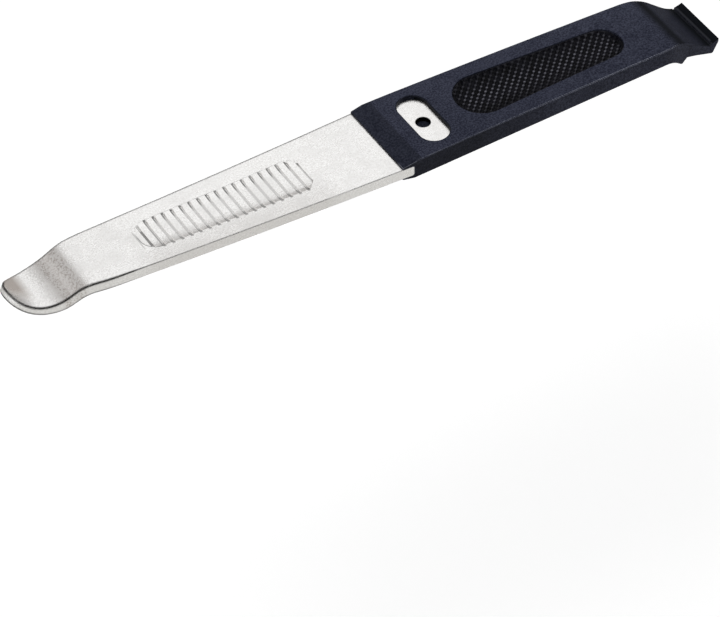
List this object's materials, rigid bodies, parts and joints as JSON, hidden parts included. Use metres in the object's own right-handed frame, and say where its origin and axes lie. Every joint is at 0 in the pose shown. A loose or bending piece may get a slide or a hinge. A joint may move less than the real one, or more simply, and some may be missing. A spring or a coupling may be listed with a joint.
{
  "type": "tyre lever",
  "caption": "Flat steel tyre lever with an upswept spoon and pressed thumb ribs, and a moulded nylon handle with soft grip pads, a window, a narrow neck and a hooked end.",
  "frame": {"origin": "middle of the lever's length and width, at the height of its lowest point, which is the foot of the hook", "axes": "+X along the lever from the steel spoon to the handle's hook, +Y across it, +Z out of its upper face, which has the ribs and the window"},
  "size_m": [0.1944, 0.0238, 0.0107],
  "materials": {
    "satin_steel": "satin plated, fine grain",
    "black_nylon": "matte, fine moulded grain",
    "black_rubber": "satin, raised knurl"
  },
  "bodies": {
    "root": {"steel_bar": "satin_steel", "handle": "black_nylon", "upper_grip_pad": "black_rubber", "lower_grip_pad": "black_rubber"}
  },
  "joints": []
}
